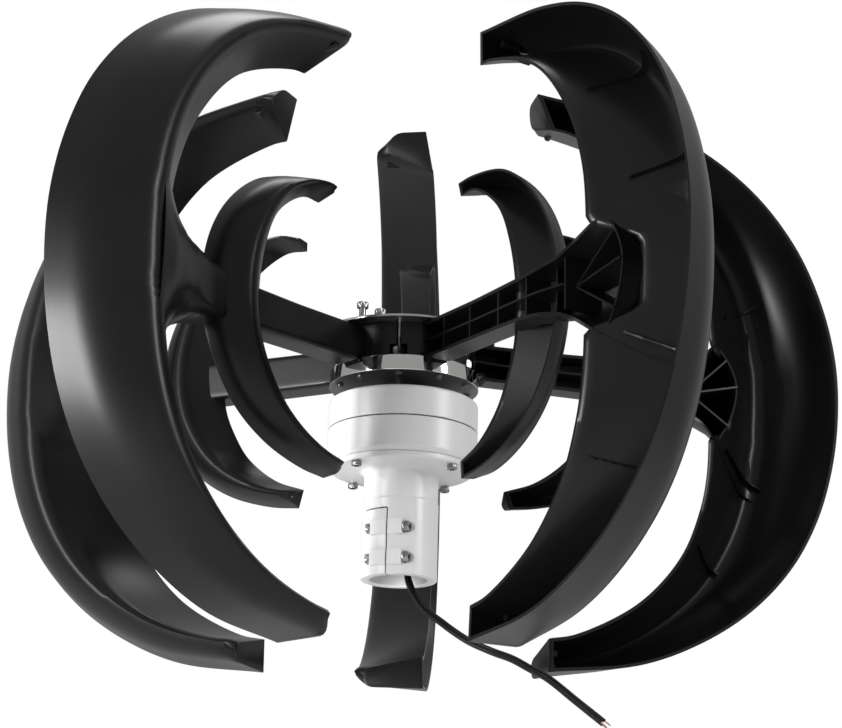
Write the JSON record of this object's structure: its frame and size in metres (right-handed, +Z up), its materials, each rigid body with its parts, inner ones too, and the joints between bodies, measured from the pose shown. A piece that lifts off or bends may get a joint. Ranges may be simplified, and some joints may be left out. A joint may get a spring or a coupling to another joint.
{
  "type": "wind turbine",
  "caption": "Small vertical-axis wind turbine: crescent blades bolted round a flat generator on a split clamp sleeve for a mast, with its cable leads.",
  "frame": {"origin": "centre of the lower rim of the mast sleeve, on the spin axis", "axes": "+Z up along the spin axis and the mast; +X towards the right of the viewer, with the viewer on the -Y side"},
  "size_m": [0.7653, 0.7517, 0.6003],
  "materials": {
    "white_casting": "satin white paint on cast aluminium",
    "blade_black": "satin black moulded plastic",
    "polished_disc": "polished turned disc",
    "seal_rubber": "matt",
    "copper_ends": "bare stranded ends",
    "cable_black": "matt insulation",
    "dark_core": "oiled laminations",
    "winding_copper": "varnished",
    "plate_steel": "zinc plated",
    "bearing_steel": "ground",
    "fastener_steel": "zinc plated"
  },
  "bodies": {
    "stator": {"cable_grommet": "seal_rubber", "clamp_nut_1": "fastener_steel", "clamp_nut_2": "fastener_steel", "clamp_screw_1": "fastener_steel", "clamp_screw_2": "fastener_steel", "lead_1": "cable_black", "lead_2": "cable_black", "lead_3": "cable_black", "lead_tip_1": "copper_ends", "lead_tip_2": "copper_ends", "lead_tip_3": "copper_ends", "lower_bearing_outer": "bearing_steel", "lower_shell": "white_casting", "mast_sleeve": "white_casting", "seam_gasket": "seal_rubber", "shaft_seal": "seal_rubber", "shell_screw_1": "fastener_steel", "shell_screw_2": "fastener_steel", "shell_screw_3": "fastener_steel", "shell_screw_4": "fastener_steel", "stator_core": "dark_core", "stator_winding": "winding_copper", "upper_bearing_outer": "bearing_steel", "upper_shell": "white_casting"},
    "rotor": {"blade_1": "blade_black", "blade_2": "blade_black", "blade_3": "blade_black", "blade_4": "blade_black", "blade_5": "blade_black", "blade_screw_1": "fastener_steel", "blade_screw_2": "fastener_steel", "blade_screw_3": "fastener_steel", "blade_screw_4": "fastener_steel", "blade_screw_5": "fastener_steel", "gap_nut_1": "fastener_steel", "gap_nut_2": "fastener_steel", "gap_nut_3": "fastener_steel", "gap_nut_4": "fastener_steel", "gap_nut_5": "fastener_steel", "gap_screw_1": "fastener_steel", "gap_screw_2": "fastener_steel", "gap_screw_3": "fastener_steel", "gap_screw_4": "fastener_steel", "gap_screw_5": "fastener_steel", "hub_disc": "polished_disc", "inner_screw_1": "fastener_steel", "inner_screw_2": "fastener_steel", "inner_screw_3": "fastener_steel", "inner_screw_4": "fastener_steel", "inner_screw_5": "fastener_steel", "lower_bearing_inner": "bearing_steel", "magnet_ring": "dark_core", "magnet_wheel": "dark_core", "shaft": "bearing_steel", "shaft_nut": "fastener_steel", "top_plate": "plate_steel", "upper_bearing_inner": "bearing_steel"}
  },
  "joints": [
    {"name": "rotor_spin", "type": "hinge", "parent": "stator", "child": "rotor", "pos_m": [0, 0, 0.15], "axis": [0, 0, 1], "continuous": true}
  ]
}
